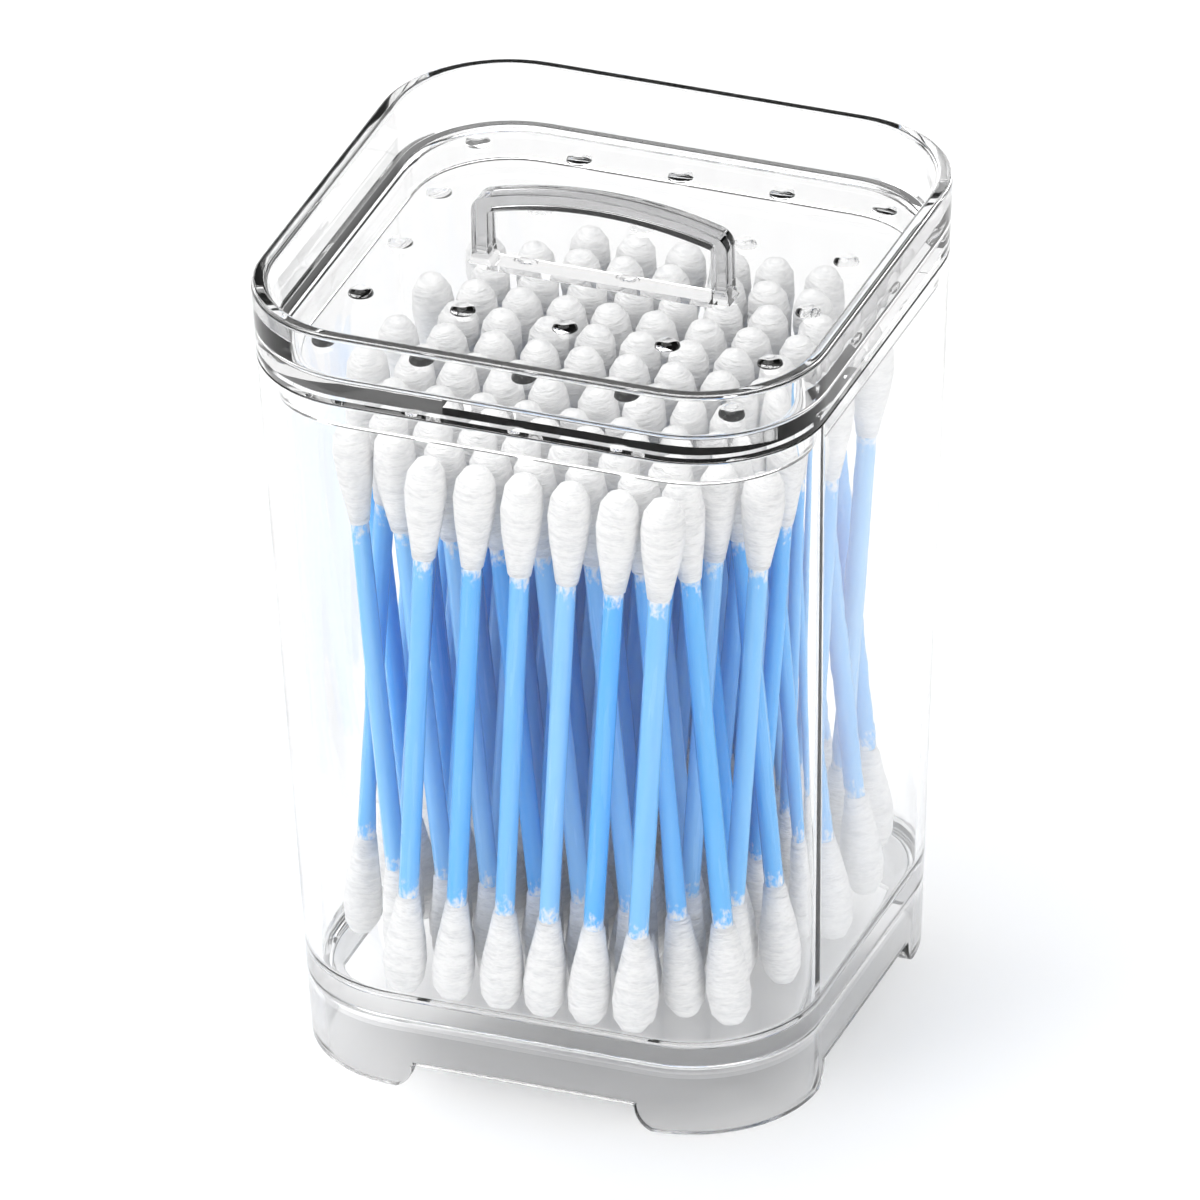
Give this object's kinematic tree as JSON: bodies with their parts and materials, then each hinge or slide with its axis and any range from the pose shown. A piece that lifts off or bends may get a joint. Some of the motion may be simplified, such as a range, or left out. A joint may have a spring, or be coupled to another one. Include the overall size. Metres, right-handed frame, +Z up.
{
  "type": "cotton swab container",
  "caption": "Clear square canister on corner feet with a lift-off tray lid and a strap handle, filled with cotton swabs that lean on one another.",
  "frame": {"origin": "middle of the footprint, on the plane that the feet stand on", "axes": "+Z up, +X along the handle, front faces -Y"},
  "size_m": [0.0732, 0.0732, 0.1102],
  "materials": {
    "clear_canister": "gloss",
    "clear_lid": "gloss",
    "swab_stick": "satin",
    "cotton": "matte"
  },
  "bodies": {
    "canister": {"canister": "clear_canister", "swab_sticks_01": "swab_stick", "swab_sticks_02": "swab_stick", "swab_sticks_03": "swab_stick", "swab_sticks_04": "swab_stick", "swab_sticks_05": "swab_stick", "swab_sticks_06": "swab_stick", "swab_sticks_07": "swab_stick", "swab_sticks_08": "swab_stick", "swab_sticks_09": "swab_stick", "swab_sticks_10": "swab_stick", "swab_sticks_11": "swab_stick", "swab_tips_01": "cotton", "swab_tips_02": "cotton", "swab_tips_03": "cotton", "swab_tips_04": "cotton", "swab_tips_05": "cotton", "swab_tips_06": "cotton", "swab_tips_07": "cotton", "swab_tips_08": "cotton", "swab_tips_09": "cotton", "swab_tips_10": "cotton", "swab_tips_11": "cotton"},
    "lid": {"lid": "clear_lid"}
  },
  "joints": [
    {"name": "lid_lift", "type": "slide", "parent": "canister", "child": "lid", "axis": [0, 0, 1], "range_m": [0, 0.06]}
  ]
}
